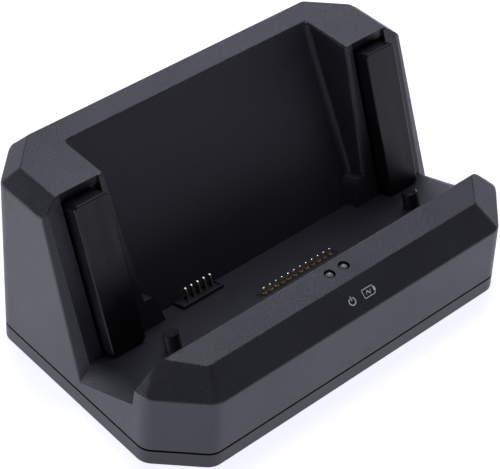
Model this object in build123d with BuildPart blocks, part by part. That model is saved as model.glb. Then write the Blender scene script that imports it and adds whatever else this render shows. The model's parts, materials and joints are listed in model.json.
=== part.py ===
from build123d import *
from math import sin, cos, tan, radians, sqrt
import os

os.makedirs("parts", exist_ok=True)

# Desktop charging cradle for a rugged tablet. Millimetres, +X right, +Y to the back, +Z up.
# The table is z = 0 and the origin is under the middle of the footprint.

# ---- outer form -----------------------------------------------------------------------
HALF_W = 75.0            # half width at the table
HALF_D = 48.1            # half depth
DRAFT = 0.0383           # side draft, mm of half width lost per mm of height
CORNER_F = 15.0          # 45 degree corner, front
CORNER_B = 12.7          # 45 degree corner, back
CORNER_R = 6.0           # rounding where a corner face meets a wall
FOOT = 0.8               # how far the feet stand below the cover
PART_Z = 6.45            # top of the cover's visible band
GAP = 0.8                # shadow gap between cover and housing
WALL = 2.4

LIP_WALL_Z = 27.65       # where the front wall turns into the sloping facet
LIP_Y0, LIP_Z0 = -39.75, 34.8      # front edge of the lip's top
LIP_Y1, LIP_Z1 = -29.46, 35.55     # inner edge of the lip's top
TOWER_WALL_Z = 62.4
TOP_Z = 67.2

# ---- the leaning channel ---------------------------------------------------------------
LEAN = 20.1                                   # degrees back from the vertical
S, C = sin(radians(LEAN)), cos(radians(LEAN))
SEAT_Y, SEAT_Z = -3.0, 16.2                   # where the wings' front face meets the floor
FLOOR = Plane(origin=(0, SEAT_Y, SEAT_Z), x_dir=(1, 0, 0), z_dir=(0, S, C))
WING = Plane(origin=(0, SEAT_Y, SEAT_Z), x_dir=(1, 0, 0), z_dir=(0, -C, S))
LIP_FOOT_Y, LIP_FOOT_Z = -28.26, 25.43        # where the floor meets the lip
WING_TOP_V = (TOP_Z - SEAT_Z) / C

BAY_X = 48.95            # half width of the recess between the wings, at the top
BAY_FOOT_X = 45.8        # and at the floor, because its side walls have draft
BAY_U = 5.3              # depth of the recess at the floor
BAY_TOP_Y = 35.13        # back edge of the recess at the top

# ---- pads, pins, contacts --------------------------------------------------------------
PAD_X0, PAD_X1 = 52.35, 64.7
PAD_V0, PAD_V1 = 0.35, 51.0
PAD_PROUD = 5.0
PAD_TRAVEL = 3.0
SLOT_X0, SLOT_X1 = 51.25, 65.6
SLOT_V1 = 51.6

PIN_PITCH = 2.54
PIN_COUNT = 12
PIN_U = 15.8
PIN_TIP = 2.3
PIN_TRAVEL = 1.2

POST_X, POST_U, POST_R, POST_H = 50.6, 16.1, 2.6, 5.8

BLADE_PITCH = 2.5
BLADE_X0 = -30.2
CONN_X0, CONN_X1 = -34.2, -17.95
CONN_U0, CONN_U1 = -4.9, 0.65
CONN_H = 1.15

LED_X, LED_Y = 2.95, -34.15
DC_X, DC_Z = 30.0, 14.4
USB_X, USB_Z = 24.0, 12.3


def yz(u, v):
    """(y, z) of a point u mm in front of the wings' face and v mm above the floor."""
    return (SEAT_Y - C * u + S * v, SEAT_Z + S * u + C * v)


def half_width(z):
    return HALF_W - DRAFT * z


def ring(z, inset=0.0, front=0.0, side=0.0, back=0.0, cf=0.0, cb=0.0):
    """Eight corners of the footprint at height z, each side moved in by its own amount."""
    w = half_width(z) - inset - side
    yf = -(HALF_D - inset - front)
    yb = HALF_D - inset - back
    kf = half_width(z) + HALF_D - CORNER_F - (inset + cf) * sqrt(2)
    kb = half_width(z) + HALF_D - CORNER_B - (inset + cb) * sqrt(2)
    right = [(kf + yf, yf), (w, w - kf), (w, kb - w), (kb - yb, yb)]
    return right + [(-x, y) for x, y in reversed(right)]


def block(z0, z1, inset=0.0):
    """The drafted eight-sided block between two heights."""
    with BuildPart() as form:
        for z in (z0, z1):
            with BuildSketch(Plane.XY.offset(z)):
                with BuildLine():
                    Polyline(*ring(z, inset), close=True)
                make_face()
        loft(ruled=True)
    return form.part


def slab(points, x0, x1):
    """A side profile in (y, z) carried across from x0 to x1."""
    with BuildPart() as form:
        with BuildSketch(Plane.YZ.offset(x0)):
            with BuildLine():
                Polyline(*points, close=True)
            make_face()
        extrude(amount=x1 - x0)
    return form.part


def prism(plane, x0, x1, y0, y1, depth, radius=0.0):
    """A block standing on a plane, by its limits in that plane."""
    with BuildPart() as form:
        with BuildSketch(plane):
            with Locations(((x0 + x1) / 2, (y0 + y1) / 2)):
                if radius:
                    RectangleRounded(x1 - x0, y1 - y0, radius)
                else:
                    Rectangle(x1 - x0, y1 - y0)
        extrude(amount=depth)
    return form.part


def roof_part(z0, z1, y0, y1, front, side, back, cf, cb, low):
    """A slab up to z0 with sloping facets from z0 to z1, kept between y0 and y1."""
    with BuildPart() as form:
        for z, k in ((z0, 0.0), (z1, 1.0)):
            with BuildSketch(Plane.XY.offset(z)):
                with BuildLine():
                    Polyline(*ring(z, 0, front * k, side * k, back * k, cf * k, cb * k), close=True)
                make_face()
        loft(ruled=True)
        ridges = form.edges().filter_by(lambda e: abs(e.tangent_at(0.5).Z) > 0.2)
        fillet([e for e in ridges if y0 < e.center().Y < y1], 3.0)
    with BuildPart() as under:
        with BuildSketch(Plane.XY.offset(low)):
            Rectangle(200, 140)
        extrude(amount=z0 - low)
    with BuildPart() as zone:
        with Locations((0, (y0 + y1) / 2, 40)):
            Box(220, y1 - y0, 120)
    return (form.part + under.part) & zone.part


def outer(inset, z_low):
    """The whole outside as one solid, moved in by inset."""
    with BuildPart() as body:
        add(block(z_low, TOP_Z - inset, inset))
        if not inset:
            fillet(body.edges().filter_by(lambda e: abs(e.tangent_at(0.5).Z) > 0.9), CORNER_R)
    drop = Pos(0, 0, -inset)
    lip = roof_part(LIP_WALL_Z, LIP_WALL_Z + 9, -60, -12, 10.56, 8.83, 0, 10.13, 0, -10)
    tower = roof_part(TOWER_WALL_Z, TOP_Z + 0.2, -14, 60, 0, 5.87, 4.4, 0, 6.03, -10)
    if inset:
        shrink = 1 - inset / HALF_W
        lip = scale(lip, by=(shrink, 1 - inset / HALF_D, 1))
        tower = scale(tower, by=(shrink, 1 - inset / HALF_D, 1))
    return body.part & ((drop * lip) + (drop * tower))


# ---- channel and recess profiles --------------------------------------------------------
wing_over = yz(0, WING_TOP_V + 8)
channel = [wing_over, yz(0, 0), (LIP_FOOT_Y, LIP_FOOT_Z), (LIP_Y1, LIP_Z1), (LIP_Y0, LIP_Z0),
           (-55, LIP_Z0 - 1.1), (-55, 90), (wing_over[0], 90)]
bay_foot = yz(-BAY_U, 0)
bay_slope = (BAY_TOP_Y - bay_foot[0]) / (TOP_Z - bay_foot[1])
bay_flare = (BAY_X - BAY_FOOT_X) / (TOP_Z - SEAT_Z)
bay = [yz(1.5, 0), bay_foot, (BAY_TOP_Y + 5 * bay_slope, TOP_Z + 5), (5, TOP_Z + 5)]

lip_lean = (LIP_Y1 - LIP_FOOT_Y) / (LIP_Z1 - LIP_FOOT_Z)
lip_end = [(LIP_Y1, LIP_Z1), (LIP_FOOT_Y - 12 * lip_lean, LIP_FOOT_Z - 12), (-70, 10), (-70, LIP_Z1)]


def bay_x(z):
    """Half width of the recess at a height."""
    return BAY_FOOT_X + (z - SEAT_Z) * bay_flare


# ---- housing ------------------------------------------------------------------------------
HOUSING_Z = PART_Z + GAP
HOLLOW_X = 67.3                      # the hollow under the channel stops short of the rounded ends
WING_IN = BAY_X + 2.2                # inside face of the wings' inner walls
hollow_top = TOP_Z - WALL
behind = bay_foot[0] + (hollow_top - bay_foot[1]) * bay_slope + WALL / cos(radians(32.1))
under_wing = yz(-WALL, -WALL)
hollow_front = [(-70, -5), (-70, 31.7), (LIP_Y0, 32.2), (-32.0, 32.9), (-30.9, 24.2),
                under_wing, (under_wing[0], -5)]
hollow_back = [(under_wing[0] - 1, -5), yz(-WALL + 1, -WALL), yz(-BAY_U - 1.95, -WALL),
               (behind, hollow_top), (70, hollow_top), (70, -5)]
hollow_wing = [(under_wing[0], -5), under_wing, yz(-WALL, WING_TOP_V), (70, TOP_Z), (70, -5)]
hollow_low = [(-70, -5), (-70, 8.6), (70, 8.6), (70, -5)]


def ramp_cutter(s):
    """Rounds the channel's open end down to the side wall, deeper at the wing than at the lip."""
    with BuildPart() as tool:
        for u, x_in, drop in ((0.0, 70.4, 5.4), (30.0, 67.8, 3.45)):
            steep = drop / (74.6 - x_in)
            start, knee = s * (x_in - 1.6), s * (x_in + 1.0)
            end = (s * 76.6, -drop - 2.0 * steep)
            with BuildSketch(Plane(origin=(0, *yz(u, 0)), x_dir=(1, 0, 0), z_dir=(0, -C, S))):
                with BuildLine():
                    Bezier((start, 0), (knee, 0), end)
                    Polyline(end, (end[0], 7), (start, 7), (start, 0))
                make_face()
        loft()
    return tool.part - slab(lip_end, -90, 90)


def flat_cutter(s, x_face, x_side, depth):
    """A wedge that takes a flat off a wing's outer front edge, down to the rounded end of the floor."""
    steep = depth / (x_side - x_face)
    with BuildPart() as cut:
        with BuildSketch(Plane(origin=(0, *yz(0, -9)), x_dir=(1, 0, 0), z_dir=(0, S, C))):
            with BuildLine():
                Polyline((s * x_face, 0), (s * (x_side + 4), depth + steep * 4),
                         (s * (x_side + 4), 0), close=True)
            make_face()
        extrude(amount=100)
    with BuildPart() as below:
        with BuildSketch(WING.offset(1)):
            with BuildLine():
                Polyline((s * 69, 0.1), (s * 70.6, -0.75), (s * 72.6, -2.6), (s * 78, -9.4), (s * 78, -40),
                         (s * 69, -40), close=True)
            make_face()
        extrude(amount=-8)
    return cut.part - below.part


with BuildPart() as hollow_zone:
    for points, x0, x1 in ((hollow_front, -HOLLOW_X, HOLLOW_X),
                           (hollow_back, -WING_IN - 0.1, WING_IN + 0.1),
                           (hollow_wing, WING_IN, 76), (hollow_wing, -76, -WING_IN),
                           (hollow_low, -76, 76)):
        with BuildSketch(Plane.YZ.offset(x0)):
            with BuildLine():
                Polyline(*points, close=True)
            make_face()
        extrude(amount=x1 - x0)

def end_face(piece, plane):
    """The face furthest along a plane's normal."""
    return piece.faces().sort_by(lambda f: f.center().dot(plane.z_dir))[-1]


def at(x, u, v):
    """A point given across, in front of the wings' face and above the floor."""
    return (x, *yz(u, v))


# ---- bosses, slots and openings of the housing ---------------------------------------------
SCREWS = [(-60.0, -36.5), (60.0, -36.5), (-64.0, 33.0), (64.0, 33.0)]
COVER_TOP = 3.0                      # inside face of the cover's floor
BOSS_Z = COVER_TOP + 0.1
PLATE_U = -14.4                      # front face of the spring plates
PLATE_T = 2.0
LEDGE_V0, LEDGE_V1 = 3.0, 50.0
PLATE_SCREWS = [(BAY_X + 4.2, 8.0), (68.6, 44.0)]

hollow = hollow_zone.part & outer(WALL, 0.0)
shell = outer(0.0, HOUSING_Z)

with BuildPart() as bosses:
    with BuildSketch(Plane.XY.offset(BOSS_Z)):
        with Locations(*SCREWS):
            Circle(3.6)
    extrude(amount=29)
    for s in (-1, 1):
        with BuildSketch(Plane.XY.offset(BOSS_Z + 5)):
            with Locations((s * 68.5, 33.0), (s * 64.0, 40.0)):
                Rectangle(9.5, 1.8)
        extrude(amount=24)
        with BuildSketch(Plane.XY.offset(BOSS_Z + 5)):
            with Locations((s * 60.0, -42.0)):
                Rectangle(1.8, 10)
        extrude(amount=20)

with BuildPart() as ledges:
    for s in (-1, 1):
        for x0, x1 in ((BAY_X + 1.0, BAY_X + 6.0), (66.8, 71.9)):
            with BuildSketch(WING.offset(PLATE_U + 0.05)):
                with Locations((s * (x0 + x1) / 2, (LEDGE_V0 + LEDGE_V1) / 2)):
                    Rectangle(x1 - x0, LEDGE_V1 - LEDGE_V0)
            extrude(amount=3.0)
        with BuildSketch(WING.offset(PLATE_U)):
            with Locations(*[(s * x, v) for x, v in PLATE_SCREWS]):
                Circle(0.8)
        extrude(amount=2.6, mode=Mode.SUBTRACT)

with BuildPart() as ribs:
    for s in (-1, 1):
        with BuildSketch(WING):
            with BuildLine():
                Polyline((s * 40.9, -1.5), (s * 42.3, 6.6), (s * 42.8, 8.0), (s * 43.7, 9.0),
                         (s * 45.0, 9.4), (s * 48.0, 9.4), (s * 48.0, -1.5), close=True)
            make_face()
        extrude(amount=-8.6)

slots = []
for s in (-1, 1):
    x0, x1 = sorted((s * SLOT_X0, s * SLOT_X1))
    slots.append(prism(WING.offset(-5), x0, x1, 0.02, SLOT_V1, 9, 0))
    # the shallow scoop above each pad, open at the top
    with BuildPart() as scoop:
        with BuildSketch(Plane.YZ.offset(x0)):
            with BuildLine():
                Polyline(yz(0.5, SLOT_V1 - 0.5), yz(-1.55, SLOT_V1 - 0.5), yz(-0.5, WING_TOP_V + 0.2),
                         yz(-0.2, WING_TOP_V + 3), yz(0.5, WING_TOP_V + 3), close=True)
            make_face()
        extrude(amount=x1 - x0)
    slots.append(scoop.part)

PIN_X = [(i - (PIN_COUNT - 1) / 2) * PIN_PITCH for i in range(PIN_COUNT)]
BLADE_X = [BLADE_X0 + i * BLADE_PITCH for i in range(5)]
POGO_X, POGO_Y = 16.4, 1.75          # half sizes of the pin block's visible face
conn_mid = ((CONN_X0 + CONN_X1) / 2, -(CONN_U0 + CONN_U1) / 2)
conn_size = (CONN_X1 - CONN_X0, CONN_U1 - CONN_U0)

with BuildPart() as holes:
    # pin block and post seats in the floor; sketches on FLOOR have y pointing to the back
    with BuildSketch(FLOOR.offset(-4)):
        with Locations((0, -PIN_U)):
            RectangleRounded(2 * POGO_X, 2 * POGO_Y, 0.6)
    extrude(amount=6)
    with BuildSketch(FLOOR.offset(-4)):
        with Locations((-POST_X, -POST_U), (POST_X, -POST_U)):
            Circle(1.6)
    extrude(amount=6)
    with BuildSketch(FLOOR.offset(-4.2)):
        with Locations((conn_mid[0], conn_mid[1] - 0.1)):
            Rectangle(conn_size[0] - 1.2, conn_size[1] - 1.6)
    extrude(amount=6)
    # light pipes in the lip
    with BuildSketch(Plane.XY.offset(30)):
        with Locations((-LED_X, LED_Y), (LED_X, LED_Y)):
            Circle(1.85)
    extrude(amount=8)
    # power inlet and data port in the back wall
    with BuildSketch(Plane.XZ.offset(-52)):
        with Locations((-DC_X, DC_Z)):
            Circle(4.4)
        with Locations((USB_X, USB_Z)):
            RectangleRounded(13.7, 6.4, 0.8)
    extrude(amount=9)
    # screw holes up into the bosses
    with BuildSketch(Plane.XY.offset(BOSS_Z - 1)):
        with Locations(*SCREWS):
            Circle(1.25)
    extrude(amount=11)

with BuildPart() as bay_sides:
    with BuildSketch(Plane.XZ.offset(-70)):
        with BuildLine():
            Polyline((-bay_x(5), 5), (bay_x(5), 5), (bay_x(80), 80), (-bay_x(80), 80), close=True)
        make_face()
    extrude(amount=140)

cutters = [slab(channel, -90, 90), slab(bay, -60, 60) & bay_sides.part, ramp_cutter(1), ramp_cutter(-1)]
for s in (-1, 1):
    cutters.append(flat_cutter(s, 70.6, 72.6, 0.9))

def lip_top(y):
    """Height of the lip's top, which slopes up towards the channel."""
    return LIP_Z0 + (y - LIP_Y0) * (LIP_Z1 - LIP_Z0) / (LIP_Y1 - LIP_Y0)


def in_front(p):
    """How far a point stands in front of the wings' face."""
    return S * (p.Z - SEAT_Z) - C * (p.Y - SEAT_Y)


def lying(form, test):
    """Edges whose ends and middle all pass a test."""
    return form.edges().filter_by(lambda e: all(test(e.position_at(t)) for t in (0, 0.5, 1)))


with BuildPart() as skin:
    add(shell)
    for cutter in cutters:
        add(cutter, mode=Mode.SUBTRACT)
    fillet(lying(skin, lambda p: abs(p.Z - LIP_WALL_Z) < 0.02 and p.Y < -30), 0.9)
    fillet(lying(skin, lambda p: abs(p.Z - TOWER_WALL_Z) < 0.02), 1.5)
    # front edges of the wings
    fillet(lying(skin, lambda p: abs(abs(p.X) - bay_x(p.Z)) < 0.02 and abs(in_front(p)) < 0.05), 1.4)
    outer_sides = lying(skin, lambda p: abs(p.X) > 71.5 and -1.9 < in_front(p) < -0.5)
    fillet(outer_sides.filter_by(lambda e: e.length > 20), 0.8)
    outer_fronts = lying(skin, lambda p: abs(abs(p.X) - 70.6) < 0.05 and abs(in_front(p)) < 0.05)
    fillet(outer_fronts.filter_by(lambda e: e.length > 20), 0.8)
    fillet(lying(skin, lambda p: p.Y < -29 and abs(p.Z - lip_top(p.Y)) < 0.03), 0.8)
    fillet(lying(skin, lambda p: abs(p.Z - TOP_Z) < 0.02), 1.0)
    # inside corners of the recess
    fillet(lying(skin, lambda p: abs(abs(p.X) - bay_x(p.Z)) < 0.02 and p.Y > -2.9
                 and abs(p.Y - bay_foot[0] - (p.Z - bay_foot[1]) * bay_slope) < 0.05), 2.0)

keep = outer(WALL - 0.6, HOUSING_Z - 5)
with BuildPart() as housing:
    add(skin.part)
    add(hollow, mode=Mode.SUBTRACT)
    add(bosses.part & keep)
    add(ledges.part & keep)
    add(ribs.part)
    for cutter in slots + [holes.part]:
        add(cutter, mode=Mode.SUBTRACT)
housing.part.label = "housing"
export_step(housing.part, "parts/housing.step")

# ---- bottom cover, feet and screws ----------------------------------------------------------
band = block(FOOT, PART_Z)
cove = block(COVER_TOP, PART_Z + 1, WALL + 1.2)
tongue = block(PART_Z - 1, PART_Z + 1.9, WALL + 0.25)
tongue_in = block(PART_Z - 2, PART_Z + 3, WALL + 1.65)
FEET = [(-51.0, -29.0), (51.0, -29.0), (-51.0, 29.0), (51.0, 29.0)]
STANDOFFS = [(-50.0, -22.0), (50.0, -22.0), (-50.0, 38.0), (50.0, 38.0)]
BOARD_Z = 6.2

with BuildPart() as bottom_cover:
    add(band)
    fillet(bottom_cover.edges().filter_by(lambda e: abs(e.tangent_at(0.5).Z) > 0.9), CORNER_R)
    chamfer(bottom_cover.faces().sort_by(Axis.Z)[0].edges(), 0.5)
    add(cove, mode=Mode.SUBTRACT)
    add(tongue)
    add(tongue_in, mode=Mode.SUBTRACT)
    # the upstand stops short of the bosses, their webs and the rear sockets
    with BuildSketch(Plane.XY.offset(PART_Z + 0.02)):
        with Locations(*SCREWS):
            Circle(4.4)
        with Locations((-66, -36.5), (66, -36.5), (-70, 33), (70, 33), (-64, 40), (64, 40)):
            Rectangle(12, 12)
        with Locations((-DC_X, 44), (USB_X, 44)):
            Rectangle(17, 12)
    extrude(amount=5, mode=Mode.SUBTRACT)
    with BuildSketch(Plane.XY.offset(COVER_TOP - 0.5)):
        with Locations(*STANDOFFS):
            Circle(3.0)
    extrude(amount=BOARD_Z - COVER_TOP + 0.5)
    with BuildSketch(Plane.XY.offset(COVER_TOP - 0.5)):
        with Locations(*FEET):
            Circle(7.6)
    extrude(amount=1.1)
    with BuildSketch(Plane.XY):
        with Locations(*FEET):
            Circle(6.1)
    extrude(amount=FOOT + 1.0, mode=Mode.SUBTRACT)
    with BuildSketch(Plane.XY):
        with Locations(*SCREWS):
            Circle(1.6)
    extrude(amount=8, mode=Mode.SUBTRACT)
    with BuildSketch(Plane.XY):
        with Locations(*SCREWS):
            Circle(3.0)
    extrude(amount=FOOT + 1.3, mode=Mode.SUBTRACT)
    with BuildSketch(Plane.XY.offset(COVER_TOP - 0.4)):
        with Locations(*STANDOFFS):
            Circle(1.0)
    extrude(amount=6, mode=Mode.SUBTRACT)
    for x in (-15, -9, -3, 3, 9, 15):
        with BuildSketch(Plane.XY):
            with Locations((x, 8)):
                SlotOverall(16, 2.0, rotation=90)
        extrude(amount=COVER_TOP + 1, mode=Mode.SUBTRACT)
bottom_cover.part.label = "bottom_cover"
export_step(bottom_cover.part, "parts/bottom_cover.step")

for name, spot in zip(("front_left", "front_right", "back_left", "back_right"), FEET):
    with BuildPart() as foot:
        with BuildSketch():
            with Locations(spot):
                Circle(6.0)
        extrude(amount=FOOT + 0.95)
        chamfer(foot.faces().sort_by(Axis.Z)[0].edges(), 0.35)
    foot.part.label = "rubber_foot_" + name
    export_step(foot.part, "parts/rubber_foot_" + name + ".step")

with BuildPart() as cover_screws:
    with BuildSketch(Plane.XY.offset(FOOT + 0.1)):
        with Locations(*SCREWS):
            Circle(2.7)
    extrude(amount=1.18)
    with BuildSketch(Plane.XY.offset(FOOT + 1.2)):
        with Locations(*SCREWS):
            Circle(1.22)
    extrude(amount=9)
    with BuildSketch(Plane.XY.offset(FOOT)):
        with Locations(*SCREWS):
            Rectangle(3.0, 0.6)
            Rectangle(0.6, 3.0)
    extrude(amount=0.8, mode=Mode.SUBTRACT)
cover_screws.part.label = "cover_screws"
export_step(cover_screws.part, "parts/cover_screws.step")

# ---- sprung pads, their springs and the plates behind them --------------------------------------
FLANGE_U = -WALL - 0.1
SPRING_V = (14.0, 38.0)
SPRING_X = (PAD_X0 + PAD_X1) / 2 + 0.8
SPRING_R, WIRE_R = 2.4, 0.3
SEAT_U = FLANGE_U - 1.8              # back face of the pad's flange

for s, side in ((-1, "left"), (1, "right")):
    with BuildPart() as pad:
        x_mid = s * (PAD_X0 + PAD_X1) / 2
        with BuildSketch(WING.offset(FLANGE_U - 0.5)):
            with Locations((x_mid, (PAD_V0 + PAD_V1) / 2)):
                RectangleRounded(PAD_X1 - PAD_X0, PAD_V1 - PAD_V0, 1.6)
        extrude(amount=PAD_PROUD - FLANGE_U + 0.5)
        fillet(end_face(pad, WING).edges(), 0.45)
        with BuildSketch(WING.offset(SEAT_U)):
            with BuildLine():
                Polyline((s * 51.5, -1.9), (s * 67.4, -1.9), (s * 67.4, 49.0), (s * 64.2, 52.2),
                         (s * 51.5, 52.2), close=True)
            make_face()
        extrude(amount=1.8)
        with BuildSketch(WING.offset(SEAT_U)):
            with Locations(*[(s * SPRING_X, v) for v in SPRING_V]):
                Circle(SPRING_R - WIRE_R - 0.25)
        extrude(amount=-1.5)
        with BuildSketch(WING.offset(SEAT_U)):
            with Locations((x_mid, (PAD_V0 + PAD_V1) / 2)):
                Rectangle(7.0, 44.0)
            with Locations(*[(s * SPRING_X, v) for v in SPRING_V]):
                Circle(3.6, mode=Mode.SUBTRACT)
        extrude(amount=PAD_PROUD - SEAT_U - 2.2, mode=Mode.SUBTRACT)
    pad.part.label = side + "_pad"
    export_step(pad.part, "parts/" + side + "_pad.step")

    with BuildPart() as spring_plate:
        with BuildSketch(WING.offset(PLATE_U)):
            with Locations((s * 60.3, (LEDGE_V0 + LEDGE_V1) / 2)):
                Rectangle(17.8, LEDGE_V1 - LEDGE_V0)
            with Locations(*[(s * x, v) for x, v in PLATE_SCREWS]):
                Circle(1.05, mode=Mode.SUBTRACT)
        extrude(amount=-PLATE_T)
        with BuildSketch(WING.offset(PLATE_U)):
            with Locations(*[(s * SPRING_X, v) for v in SPRING_V]):
                Circle(SPRING_R - WIRE_R - 0.25)
        extrude(amount=1.5)
    spring_plate.part.label = side + "_spring_plate"
    export_step(spring_plate.part, "parts/" + side + "_spring_plate.step")

    length = SEAT_U - PLATE_U - 2 * WIRE_R - 0.06
    with BuildPart() as coil:
        with BuildLine() as path:
            Helix(pitch=length / 6, height=length, radius=SPRING_R)
        wire = path.line
        with BuildSketch(Plane(origin=wire @ 0, z_dir=wire % 0)):
            Circle(WIRE_R)
        sweep(path=wire)
    with BuildPart() as springs:
        for v in SPRING_V:
            seat = Plane(origin=at(s * SPRING_X, PLATE_U + WIRE_R + 0.03, v), x_dir=(1, 0, 0),
                         z_dir=WING.z_dir)
            add(seat.location * coil.part)
    springs.part.label = side + "_pad_springs"
    export_step(springs.part, "parts/" + side + "_pad_springs.step")

with BuildPart() as plate_screws:
    for s in (-1, 1):
        spots = [(s * x, v) for x, v in PLATE_SCREWS]
        with BuildSketch(WING.offset(PLATE_U - PLATE_T)):
            with Locations(*spots):
                Circle(1.7)
        extrude(amount=-1.1)
        with BuildSketch(WING.offset(PLATE_U - PLATE_T - 0.2)):
            with Locations(*spots):
                Circle(0.78)
        extrude(amount=PLATE_T + 2.5)
plate_screws.part.label = "plate_screws"
export_step(plate_screws.part, "parts/plate_screws.step")

# ---- row of sprung pins ------------------------------------------------------------------------
BLOCK_V0 = -4.6
BARREL_R, PLUNGER_R = 0.75, 0.5

with BuildPart() as pogo_block:
    with BuildSketch(FLOOR.offset(-WALL - 0.02)):
        with Locations((0, -PIN_U)):
            RectangleRounded(2 * POGO_X + 3, 2 * POGO_Y + 2.4, 0.6)
    extrude(amount=BLOCK_V0 + WALL)
    with BuildSketch(FLOOR.offset(-WALL - 0.1)):
        with Locations((0, -PIN_U)):
            RectangleRounded(2 * POGO_X - 0.1, 2 * POGO_Y - 0.1, 0.55)
    extrude(amount=WALL + 0.1 - 0.12)
    with BuildSketch(FLOOR.offset(BLOCK_V0 - 1)):
        with Locations(*[(x, -PIN_U) for x in PIN_X]):
            Circle(BARREL_R + 0.02)
    extrude(amount=8, mode=Mode.SUBTRACT)
pogo_block.part.label = "pogo_block"
export_step(pogo_block.part, "parts/pogo_block.step")

with BuildPart() as pogo_barrels:
    with BuildSketch(FLOOR.offset(BLOCK_V0)):
        with Locations(*[(x, -PIN_U) for x in PIN_X]):
            Circle(BARREL_R)
    extrude(amount=-BLOCK_V0 + 0.55)
    with BuildSketch(FLOOR.offset(-0.1)):
        with Locations(*[(x, -PIN_U) for x in PIN_X]):
            Circle(0.98)
    extrude(amount=0.45)
    with BuildSketch(FLOOR.offset(BLOCK_V0 + 0.4)):
        with Locations(*[(x, -PIN_U) for x in PIN_X]):
            Circle(PLUNGER_R + 0.04)
    extrude(amount=8, mode=Mode.SUBTRACT)
pogo_barrels.part.label = "pogo_barrels"
export_step(pogo_barrels.part, "parts/pogo_barrels.step")

for i, x in enumerate(PIN_X):
    with BuildPart() as plunger:
        with BuildSketch(FLOOR.offset(-2.6)):
            with Locations((x, -PIN_U)):
                Circle(PLUNGER_R)
        extrude(amount=2.6 + PIN_TIP)
        fillet(end_face(plunger, FLOOR).edges(), 0.42)
    name = f"pogo_plunger_{i + 1:02d}"
    plunger.part.label = name
    export_step(plunger.part, "parts/" + name + ".step")

with BuildPart() as pogo_board:
    with BuildSketch(FLOOR.offset(BLOCK_V0 - 0.02)):
        with Locations((0, -PIN_U)):
            Rectangle(38, 9)
    extrude(amount=-1.2)
pogo_board.part.label = "pogo_board"
export_step(pogo_board.part, "parts/pogo_board.step")

# ---- five-blade contact in the recess ---------------------------------------------------------
with BuildPart() as blade_connector:
    with BuildSketch(FLOOR.offset(0.02)):
        with Locations(conn_mid):
            Rectangle(*conn_size)
    extrude(amount=CONN_H)
    chamfer(end_face(blade_connector, FLOOR).edges(), 0.2)
    with BuildSketch(FLOOR.offset(CONN_H + 0.02)):
        with Locations(conn_mid):
            Rectangle(conn_size[0] - 1.3, conn_size[1] - 1.3)
    extrude(amount=-0.4, mode=Mode.SUBTRACT)
    with BuildSketch(FLOOR.offset(-4.0)):
        with Locations((conn_mid[0], conn_mid[1] - 0.1)):
            Rectangle(conn_size[0] - 1.3, conn_size[1] - 1.7)
    extrude(amount=4.2)
    with BuildSketch(FLOOR.offset(-5)):
        with Locations(*[(x, 2.9) for x in BLADE_X]):
            Rectangle(0.66, 2.06)
    extrude(amount=8, mode=Mode.SUBTRACT)
blade_connector.part.label = "blade_connector"
export_step(blade_connector.part, "parts/blade_connector.step")

with BuildPart() as battery_contacts:
    for x in BLADE_X:
        with BuildSketch(Plane.YZ.offset(x - 0.26)):
            with BuildLine():
                Polyline(yz(-3.9, -5.2), yz(-3.9, 1.5), yz(-2.75, 2.3), yz(-2.6, 3.9), yz(-3.5, 4.15),
                         yz(-3.45, 4.7), yz(-2.6, 4.95), yz(-2.15, 4.75), yz(-1.95, 4.2),
                         yz(-1.95, -3.0), yz(-2.9, -3.4), yz(-2.9, -5.2), close=True)
            make_face()
        extrude(amount=0.52)
battery_contacts.part.label = "battery_contacts"
export_step(battery_contacts.part, "parts/battery_contacts.step")

with BuildPart() as contact_board:
    with BuildSketch(FLOOR.offset(-4.05)):
        with Locations((conn_mid[0], conn_mid[1])):
            Rectangle(20, 9)
        with Locations(*[(x, 3.4) for x in BLADE_X]):
            Rectangle(0.8, 1.3, mode=Mode.SUBTRACT)
    extrude(amount=-1.0)
contact_board.part.label = "contact_board"
export_step(contact_board.part, "parts/contact_board.step")

# ---- guide posts --------------------------------------------------------------------------------
for s, side in ((-1, "left"), (1, "right")):
    with BuildPart() as post:
        with BuildSketch(FLOOR):
            with Locations((s * POST_X, -POST_U)):
                Circle(POST_R)
        extrude(amount=POST_H)
        chamfer(end_face(post, FLOOR).edges(), 0.5)
        with BuildSketch(FLOOR.offset(-3.6)):
            with Locations((s * POST_X, -POST_U)):
                Circle(1.58)
        extrude(amount=3.7)
    post.part.label = "guide_post_" + side
    export_step(post.part, "parts/guide_post_" + side + ".step")

# ---- boards, lights and rear sockets ---------------------------------------------------------------
with BuildPart() as main_board:
    with BuildSketch(Plane.XY.offset(BOARD_Z)):
        with Locations((0, 4.0)):
            Rectangle(112, 80)
        with Locations(*STANDOFFS):
            Circle(1.25, mode=Mode.SUBTRACT)
    extrude(amount=1.6)
main_board.part.label = "main_board"
export_step(main_board.part, "parts/main_board.step")

with BuildPart() as board_screws:
    with BuildSketch(Plane.XY.offset(BOARD_Z + 1.6)):
        with Locations(*STANDOFFS):
            Circle(2.2)
    extrude(amount=1.2)
    with BuildSketch(Plane.XY.offset(COVER_TOP + 0.2)):
        with Locations(*STANDOFFS):
            Circle(0.97)
    extrude(amount=BOARD_Z + 1.6 - COVER_TOP)
board_screws.part.label = "board_screws"
export_step(board_screws.part, "parts/board_screws.step")

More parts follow.
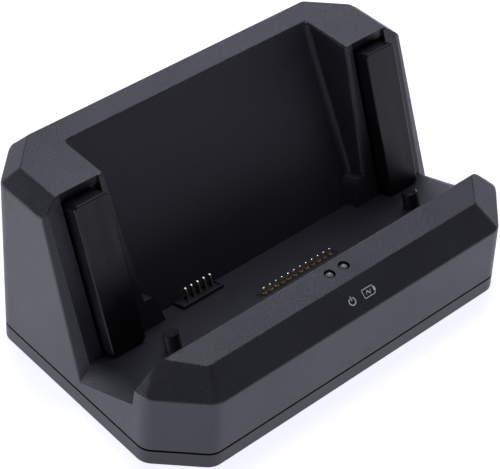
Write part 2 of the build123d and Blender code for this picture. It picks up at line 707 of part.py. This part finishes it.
BOARD_TOP = BOARD_Z + 1.6
with BuildPart() as board_parts:
    for x, y, w, d, h in ((-12, 12, 9, 9, 1.2), (8, 20, 12, 8, 1.6), (24, 8, 6, 6, 3.0), (-34, 18, 8, 5, 1.4),
                          (-20, -8, 5, 4, 1.2), (14, -6, 7, 5, 1.4), (38, 24, 7, 7, 3.4), (-44, 10, 4, 8, 1.5),
                          (0, 34, 18, 4, 2.4)):
        with BuildSketch(Plane.XY.offset(BOARD_TOP)):
            with Locations((x, y)):
                Rectangle(w, d)
        extrude(amount=h)
    with BuildSketch(Plane.XY.offset(BOARD_TOP)):
        with Locations((USB_X, 40.2)):
            Rectangle(13.0, 7.2)
    extrude(amount=USB_Z - 2.95 - BOARD_TOP)
board_parts.part.label = "board_parts"
export_step(board_parts.part, "parts/board_parts.step")

with BuildPart() as status_leds:
    with BuildSketch(Plane.XY.offset(BOARD_TOP)):
        with Locations((-LED_X, LED_Y), (LED_X, LED_Y)):
            Rectangle(3.2, 2.6)
    extrude(amount=1.1)
status_leds.part.label = "status_leds"
export_step(status_leds.part, "parts/status_leds.step")

lip_z = lip_top(LED_Y)
for s, name in ((-1, "power"), (1, "battery")):
    with BuildPart() as pipe:
        with BuildSketch(Plane.XY.offset(BOARD_TOP + 1.4)):
            with Locations((s * LED_X, LED_Y)):
                Circle(1.4)
        extrude(amount=lip_z + 0.05 - BOARD_TOP - 1.4)
        fillet(pipe.faces().sort_by(Axis.Z)[-1].edges(), 1.25)
        with BuildSketch(Plane.XY.offset(30.6)):
            with Locations((s * LED_X, LED_Y)):
                Circle(2.2)
        extrude(amount=1.2)
    pipe.part.label = "light_pipe_" + name
    export_step(pipe.part, "parts/light_pipe_" + name + ".step")

with BuildPart() as dc_inlet:
    with BuildSketch(Plane.XY.offset(BOARD_TOP)):
        with Locations((-DC_X, 38.5)):
            Rectangle(9.0, 13.0)
    extrude(amount=11)
    with BuildSketch(Plane.XZ.offset(-47.3)):
        with Locations((-DC_X, DC_Z)):
            Circle(4.2)
    extrude(amount=6)
    with BuildSketch(Plane.XZ.offset(-48)):
        with Locations((-DC_X, DC_Z)):
            Circle(2.85)
    extrude(amount=10.5, mode=Mode.SUBTRACT)
    with BuildSketch(Plane.XZ.offset(-38)):
        with Locations((-DC_X, DC_Z)):
            Circle(1.02)
    extrude(amount=4, mode=Mode.SUBTRACT)
dc_inlet.part.label = "dc_inlet"
export_step(dc_inlet.part, "parts/dc_inlet.step")

with BuildPart() as dc_inlet_pin:
    with BuildSketch(Plane.XZ.offset(-46.2)):
        with Locations((-DC_X, DC_Z)):
            Circle(1.0)
    extrude(amount=11)
    fillet(dc_inlet_pin.faces().sort_by(Axis.Y)[-1].edges(), 0.6)
dc_inlet_pin.part.label = "dc_inlet_pin"
export_step(dc_inlet_pin.part, "parts/dc_inlet_pin.step")

with BuildPart() as usb_port:
    with BuildSketch(Plane.XZ.offset(-47.4)):
        with Locations((USB_X, USB_Z)):
            RectangleRounded(13.2, 5.9, 0.5)
    extrude(amount=14)
    with BuildSketch(Plane.XZ.offset(-48)):
        with Locations((USB_X, USB_Z)):
            RectangleRounded(12.6, 5.3, 0.3)
    extrude(amount=13.6, mode=Mode.SUBTRACT)
usb_port.part.label = "usb_port"
export_step(usb_port.part, "parts/usb_port.step")

with BuildPart() as usb_tongue:
    with BuildSketch(Plane.XZ.offset(-45.8)):
        with Locations((USB_X, USB_Z + 1.35)):
            Rectangle(10.6, 1.8)
    extrude(amount=11.35)
usb_tongue.part.label = "usb_tongue"
export_step(usb_tongue.part, "parts/usb_tongue.step")

# ---- printed symbols on the sloping front facet -------------------------------------------------
facet = (LIP_Y0 + HALF_D, LIP_Z0 - LIP_WALL_Z)
facet_len = sqrt(facet[0] ** 2 + facet[1] ** 2)
fy, fz = facet[0] / facet_len, facet[1] / facet_len
FACET = Plane(origin=(0, -HALF_D + 5.12 * fy, LIP_WALL_Z + 5.12 * fz), x_dir=(1, 0, 0), z_dir=(0, -fz, fy))

BATTERY_X = 4.0
with BuildPart() as power_mark:
    with BuildSketch(FACET.offset(0.005)):
        with Locations((-2.75, 0)):
            Circle(1.35)
            Circle(1.0, mode=Mode.SUBTRACT)
            with Locations((0, 1.2)):
                Rectangle(1.1, 1.2, mode=Mode.SUBTRACT)
            with Locations((0, 0.95)):
                Rectangle(0.35, 1.5)
    extrude(amount=0.04)
power_mark.part.label = "power_mark"
export_step(power_mark.part, "parts/power_mark.step")

with BuildPart() as battery_mark:
    with BuildSketch(FACET.offset(0.005)):
        with Locations((BATTERY_X, 0)):
            RectangleRounded(4.6, 3.0, 0.5)
            RectangleRounded(4.1, 2.5, 0.3, mode=Mode.SUBTRACT)
            with Locations((2.5, 0)):
                Rectangle(0.55, 1.3)
        with BuildLine():
            Polyline([(BATTERY_X + x, y) for x, y in (
                (-1.25, -0.75), (-0.35, 0.8), (0.35, -0.25), (1.25, 0.75), (0.35, -0.8),
                (-0.35, 0.25))], close=True)
        make_face()
    extrude(amount=0.04)
battery_mark.part.label = "battery_mark"
export_step(battery_mark.part, "parts/battery_mark.step")
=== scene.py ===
import bpy
import json
from mathutils import Matrix, Vector

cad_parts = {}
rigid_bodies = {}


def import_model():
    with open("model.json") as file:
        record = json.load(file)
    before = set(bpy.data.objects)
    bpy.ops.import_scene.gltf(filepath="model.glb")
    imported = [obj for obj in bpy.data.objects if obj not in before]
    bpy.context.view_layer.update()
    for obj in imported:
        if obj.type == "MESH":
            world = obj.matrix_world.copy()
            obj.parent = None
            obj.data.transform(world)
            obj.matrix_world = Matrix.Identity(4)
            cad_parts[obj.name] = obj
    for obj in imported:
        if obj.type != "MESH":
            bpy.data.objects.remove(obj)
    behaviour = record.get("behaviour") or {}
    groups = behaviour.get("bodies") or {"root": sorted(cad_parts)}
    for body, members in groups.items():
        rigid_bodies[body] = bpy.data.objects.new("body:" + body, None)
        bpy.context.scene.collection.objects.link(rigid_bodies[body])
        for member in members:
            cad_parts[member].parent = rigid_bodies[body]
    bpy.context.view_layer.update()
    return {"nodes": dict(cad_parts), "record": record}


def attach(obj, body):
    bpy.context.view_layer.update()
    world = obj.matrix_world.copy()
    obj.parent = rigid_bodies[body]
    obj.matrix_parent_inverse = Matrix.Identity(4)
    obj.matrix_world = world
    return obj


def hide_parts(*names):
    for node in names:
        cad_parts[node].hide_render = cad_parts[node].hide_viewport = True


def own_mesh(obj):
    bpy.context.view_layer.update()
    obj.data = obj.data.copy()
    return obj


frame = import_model()
nodes = frame["nodes"]


# ---- node helpers -------------------------------------------------------------------------------
class Shader:
    """A procedural material built node by node."""

    def __init__(self, name):
        self.mat = bpy.data.materials.new(name)
        self.mat.use_nodes = True
        self.tree = self.mat.node_tree
        self.bsdf = self.tree.nodes["Principled BSDF"]
        self.coord = self.tree.nodes.new("ShaderNodeTexCoord")
        self.place = self.coord.outputs["Object"]

    def link(self, source, target):
        self.tree.links.new(source, target)

    def put(self, value, socket):
        """Links a socket, or sets a plain value."""
        if isinstance(value, bpy.types.NodeSocket):
            self.link(value, socket)
        else:
            socket.default_value = value

    def noise(self, scale, detail, rough, stretch=None):
        """Noise with this many features to the metre."""
        n = self.tree.nodes.new("ShaderNodeTexNoise")
        n.inputs["Scale"].default_value = scale
        n.inputs["Detail"].default_value = detail
        n.inputs["Roughness"].default_value = rough
        self.link(self.mapped(stretch) if stretch else self.place, n.inputs["Vector"])
        return n.outputs["Fac"]

    def cells(self, scale):
        """Distance to the nearest of scattered points, this many to the metre."""
        n = self.tree.nodes.new("ShaderNodeTexVoronoi")
        n.inputs["Scale"].default_value = scale
        self.link(self.place, n.inputs["Vector"])
        return n.outputs["Distance"]

    def mapped(self, stretch):
        m = self.tree.nodes.new("ShaderNodeMapping")
        m.inputs["Scale"].default_value = stretch
        self.link(self.place, m.inputs["Vector"])
        return m.outputs["Vector"]

    def ramp(self, fac, stops):
        """Colours, or greys, at positions from 0 to 1."""
        r = self.tree.nodes.new("ShaderNodeValToRGB")
        band = r.color_ramp
        while len(band.elements) < len(stops):
            band.elements.new(0.5)
        for element, (where, colour) in zip(band.elements, stops):
            element.position = where
            element.color = (*(colour if isinstance(colour, tuple) else (colour,) * 3), 1.0)
        self.link(fac, r.inputs["Fac"])
        return r.outputs["Color"]

    def spread(self, fac, low, high, start=0.0, end=1.0):
        """fac from start to end becomes low to high."""
        m = self.tree.nodes.new("ShaderNodeMapRange")
        m.inputs["From Min"].default_value = start
        m.inputs["From Max"].default_value = end
        m.inputs["To Min"].default_value = low
        m.inputs["To Max"].default_value = high
        self.link(fac, m.inputs["Value"])
        return m.outputs["Result"]

    def math(self, what, a, b=0.0):
        m = self.tree.nodes.new("ShaderNodeMath")
        m.operation = what
        self.put(a, m.inputs[0])
        self.put(b, m.inputs[1])
        return m.outputs["Value"]

    def blend(self, fac, a, b):
        """Colour a where fac is 0, b where it is 1."""
        m = self.tree.nodes.new("ShaderNodeMix")
        m.data_type = "RGBA"
        self.put(fac, m.inputs[0])
        self.put((*a, 1.0) if isinstance(a, tuple) else a, m.inputs[6])
        self.put((*b, 1.0) if isinstance(b, tuple) else b, m.inputs[7])
        return m.outputs[2]

    def bump(self, height, distance, strength):
        """Relief up to distance metres high."""
        b = self.tree.nodes.new("ShaderNodeBump")
        b.inputs["Strength"].default_value = strength
        b.inputs["Distance"].default_value = distance
        self.link(height, b.inputs["Height"])
        self.link(b.outputs["Normal"], self.bsdf.inputs["Normal"])

    def finish(self, colour, rough, metal=0.0, **more):
        self.put((*colour, 1.0) if isinstance(colour, tuple) else colour, self.bsdf.inputs["Base Color"])
        self.put(rough, self.bsdf.inputs["Roughness"])
        self.bsdf.inputs["Metallic"].default_value = metal
        for name, value in more.items():
            self.bsdf.inputs[name.replace("_", " ")].default_value = value
        return self.mat


# ---- materials ------------------------------------------------------------------------------------
def moulded(name, colour, rough, grain, level=0.5):
    """Moulded plastic with a fine eroded texture and slightly uneven gloss; grain is its depth in metres."""
    s = Shader(name)
    grit = s.noise(2300, 2, 0.60)
    cloud = s.noise(42, 4, 0.6)
    flow = s.noise(9, 2, 0.5)
    dark = tuple(c * 0.86 for c in colour)
    light = tuple(min(1.0, c * 1.12) for c in colour)
    tone = s.ramp(cloud, ((0.3, dark), (0.7, light)))
    speck = s.blend(s.spread(grit, 0.0, 0.35, 0.45, 0.75), tone, tuple(c * 1.5 for c in colour))
    body = s.blend(s.spread(flow, 0.0, 0.18, 0.35, 0.7), speck, tuple(c * 0.75 for c in colour))
    gloss = s.math("ADD", s.spread(grit, rough - 0.05, rough + 0.07, 0.3, 0.7),
                   s.spread(cloud, -0.04, 0.05, 0.3, 0.7))
    s.bump(grit, grain, 0.9)
    return s.finish(body, gloss, Specular_IOR_Level=level)


def satin(name, colour, rough, level=0.5):
    """Smoother moulded plastic with faint rub marks."""
    s = Shader(name)
    rub = s.noise(260, 4, 0.65, stretch=(1.0, 0.18, 0.18))
    fine = s.noise(2600, 2, 0.5)
    cloud = s.noise(60, 3, 0.6)
    body = s.ramp(cloud, ((0.3, tuple(c * 0.8 for c in colour)), (0.72, tuple(c * 1.25 for c in colour))))
    gloss = s.math("ADD", s.spread(rub, rough - 0.07, rough + 0.12, 0.3, 0.75),
                   s.spread(cloud, -0.03, 0.04, 0.3, 0.7))
    s.bump(fine, 0.000012, 0.5)
    return s.finish(body, gloss, Specular_IOR_Level=level)


def metal(name, colour, worn, rough, painted_side_shade=None):
    """Plated metal with fine marks and slight tarnish; the optional side colour is painted shade, darkening
    faces turned to either side.
    """
    s = Shader(name)
    marks = s.noise(2400, 3, 0.6)
    tarnish = s.noise(420, 4, 0.6)
    body = s.ramp(tarnish, ((0.35, worn), (0.6, colour), (0.85, tuple(min(1, c * 1.1) for c in colour))))
    gloss = s.math("ADD", s.spread(marks, rough - 0.06, rough + 0.1, 0.3, 0.7),
                   s.spread(tarnish, 0.08, -0.02, 0.3, 0.6))
    # painted shade: faces turned towards either side take a darker colour in place of the dark surroundings
    # they would reflect
    if painted_side_shade:
        split = s.tree.nodes.new("ShaderNodeSeparateXYZ")
        s.link(s.coord.outputs["Normal"], split.inputs[0])
        sideways = s.math("ABSOLUTE", split.outputs["X"])
        body = s.blend(s.spread(sideways, 0.0, 1.0, 0.3, 0.8), body, painted_side_shade)
    s.bump(marks, 0.00001, 0.4)
    return s.finish(body, gloss, 1.0)


def board():
    """Solder mask over copper, with darker bare patches and a faint weave."""
    s = Shader("circuit_board")
    weave = s.noise(2200, 1, 0.4, stretch=(1.0, 0.2, 1.0))
    copper = s.cells(150)
    body = s.ramp(copper, ((0.12, (0.01, 0.075, 0.03)), (0.2, (0.012, 0.11, 0.045)),
                           (0.8, (0.008, 0.06, 0.026))))
    s.bump(copper, 0.00003, 0.5)
    return s.finish(body, s.spread(weave, 0.25, 0.42, 0.3, 0.7))


def clear(name, tint):
    """Clear plastic with a slight haze."""
    s = Shader(name)
    haze = s.noise(900, 3, 0.6)
    body = s.ramp(haze, ((0.3, tuple(c * 0.9 for c in tint)), (0.7, tint)))
    s.bump(haze, 0.00001, 0.3)
    return s.finish(body, s.spread(haze, 0.12, 0.26, 0.3, 0.7), Transmission_Weight=0.75, IOR=1.49)


def printed(name, colour):
    """Ink with a faint tooth."""
    s = Shader(name)
    ink = s.noise(5200, 3, 0.6)
    body = s.ramp(ink, ((0.3, tuple(c * 0.82 for c in colour)), (0.7, colour)))
    s.bump(ink, 0.000008, 0.4)
    return s.finish(body, s.spread(ink, 0.5, 0.66, 0.3, 0.7))


CHARCOAL = (0.0135, 0.0140, 0.0195)
finishes = {
    "housing_plastic": moulded("housing_plastic", CHARCOAL, 0.40, 0.00020),
    "cover_plastic": moulded("cover_plastic", (0.013, 0.013, 0.016), 0.42, 0.00005),
    "foot_rubber": moulded("foot_rubber", (0.012, 0.012, 0.012), 0.75, 0.00006, level=0.3),
    "pad_plastic": satin("pad_plastic", (0.0045, 0.0045, 0.0055), 0.30, 0.28),
    "post_plastic": satin("post_plastic", (0.010, 0.010, 0.011), 0.32),
    "insulator_plastic": satin("insulator_plastic", (0.009, 0.009, 0.010), 0.42),
    "chip_plastic": satin("chip_plastic", (0.016, 0.016, 0.017), 0.5),
    "gold_plate": metal("gold_plate", (1.0, 0.88, 0.64), (0.90, 0.70, 0.42), 0.16),
    # contact blades: their side faces get painted shade
    "contact_alloy": metal("contact_alloy", (0.95, 0.86, 0.66), (0.62, 0.52, 0.34), 0.3,
                           painted_side_shade=(0.24, 0.19, 0.12)),
    "socket_steel": metal("socket_steel", (0.62, 0.62, 0.63), (0.40, 0.40, 0.41), 0.28),
    "spring_steel": metal("spring_steel", (0.55, 0.55, 0.56), (0.36, 0.36, 0.36), 0.3),
    "screw_steel": metal("screw_steel", (0.10, 0.10, 0.105), (0.05, 0.05, 0.05), 0.35),
    "circuit_board": board(),
    "led_plastic": clear("led_plastic", (0.85, 0.85, 0.78)),
    "clear_plastic": clear("clear_plastic", (0.86, 0.88, 0.90)),
    "print_ink": printed("print_ink", (0.62, 0.63, 0.66)),
}
for part in frame["record"]["subparts"]:
    piece = nodes[part["node"]]
    piece.data.materials.clear()
    piece.data.materials.append(finishes[part["material_slot"]])

# ---- springs behind the pads --------------------------------------------------------------------------
def pressed_springs(joint):
    """Copies the coils behind a pad into their own mesh on the joint's parent body and hides the original
    coils.
    """
    stand = joint["deforming_nodes"][0]
    source = nodes[stand["node"]]
    coils = bpy.data.objects.new(stand["node"] + "_coils", source.data.copy())
    bpy.context.scene.collection.objects.link(coils)
    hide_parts(stand["node"])
    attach(coils, joint["parent"])
    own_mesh(coils)


for joint in frame["record"]["behaviour"]["joints"]:
    if joint.get("deforming_nodes"):
        pressed_springs(joint)

# ---- floor, light and camera ------------------------------------------------------------------------
FLOOR_GLOW = (0.86, 0.865, 1.0)
FLOOR_DROP = 0.00005     # how far the floor lies under the feet
HORIZON = (0.86, 0.875, 1.0)
OVERHEAD = (0.085, 0.09, 0.11)
SUBJECT = (0, 0, 0.03)   # what the lights face


def stage_material():
    """Pale floor that glows enough to read as white."""
    s = Shader("stage_white")
    wide = s.noise(3, 2, 0.5)
    s.bsdf.inputs["Emission Color"].default_value = (*FLOOR_GLOW, 1)
    return s.finish(s.ramp(wide, ((0.3, 0.50), (0.7, 0.52))), 0.7, Emission_Strength=1.0,
                    Specular_IOR_Level=0.0)


bpy.ops.mesh.primitive_plane_add(size=6.0, location=(0, 0, -FLOOR_DROP))
floor = bpy.context.object
floor.name = "floor"
floor.data.materials.append(stage_material())


def area(name, place, size, power, colour):
    """Rectangular lamp facing the subject."""
    data = bpy.data.lights.new(name, "AREA")
    data.shape = "RECTANGLE"
    data.size, data.size_y = size
    data.energy = power
    data.color = colour
    lamp = bpy.data.objects.new(name, data)
    bpy.context.scene.collection.objects.link(lamp)
    lamp.location = place
    lamp.rotation_mode = "QUATERNION"
    lamp.rotation_quaternion = (Vector(SUBJECT) - Vector(place)).to_track_quat("-Z", "Y")


area("key", (0.46, 0.52, 0.80), (0.80, 0.80), 5.4, (0.83, 0.84, 1.0))
area("spark", (0.05, 0.15, 1.0), (0.22, 0.22), 2.0, (0.96, 0.97, 1.0))
area("left_fill", (-0.9, 0.15, 0.05), (0.8, 0.08), 4, (0.93, 0.95, 1.0))

# the studio is pale near the floor and dark overhead
world = bpy.data.worlds.new("studio")
bpy.context.scene.world = world
world.use_nodes = True
sky = world.node_tree
where = sky.nodes.new("ShaderNodeTexCoord")
split = sky.nodes.new("ShaderNodeSeparateXYZ")
fade = sky.nodes.new("ShaderNodeValToRGB")
sky.links.new(where.outputs["Generated"], split.inputs[0])
sky.links.new(split.outputs["Z"], fade.inputs["Fac"])
sky.links.new(fade.outputs["Color"], sky.nodes["Background"].inputs["Color"])
fade.color_ramp.elements[0].position = 0.02
fade.color_ramp.elements[0].color = (*HORIZON, 1)
fade.color_ramp.elements[1].position = 0.25
fade.color_ramp.elements[1].color = (*OVERHEAD, 1)
sky.nodes["Background"].inputs["Strength"].default_value = 1.0

lens = bpy.data.cameras.new("camera")
lens.sensor_width = 36.0
lens.lens = 125.06
lens.clip_start, lens.clip_end = 0.05, 20.0
camera = bpy.data.objects.new("camera", lens)
bpy.context.scene.collection.objects.link(camera)
ahead = Vector((0.5108, 0.5408, -0.6683)).normalized()
across = Vector((0.7473, -0.6637, 0.0341))
across = (across - ahead * across.dot(ahead)).normalized()
over = across.cross(ahead)
turn = Matrix((across, over, -ahead)).transposed().to_4x4()
camera.matrix_world = Matrix.Translation((-0.28333, -0.29525, 0.39315)) @ turn
bpy.context.scene.camera = camera
bpy.context.scene.view_settings.view_transform = "Standard"
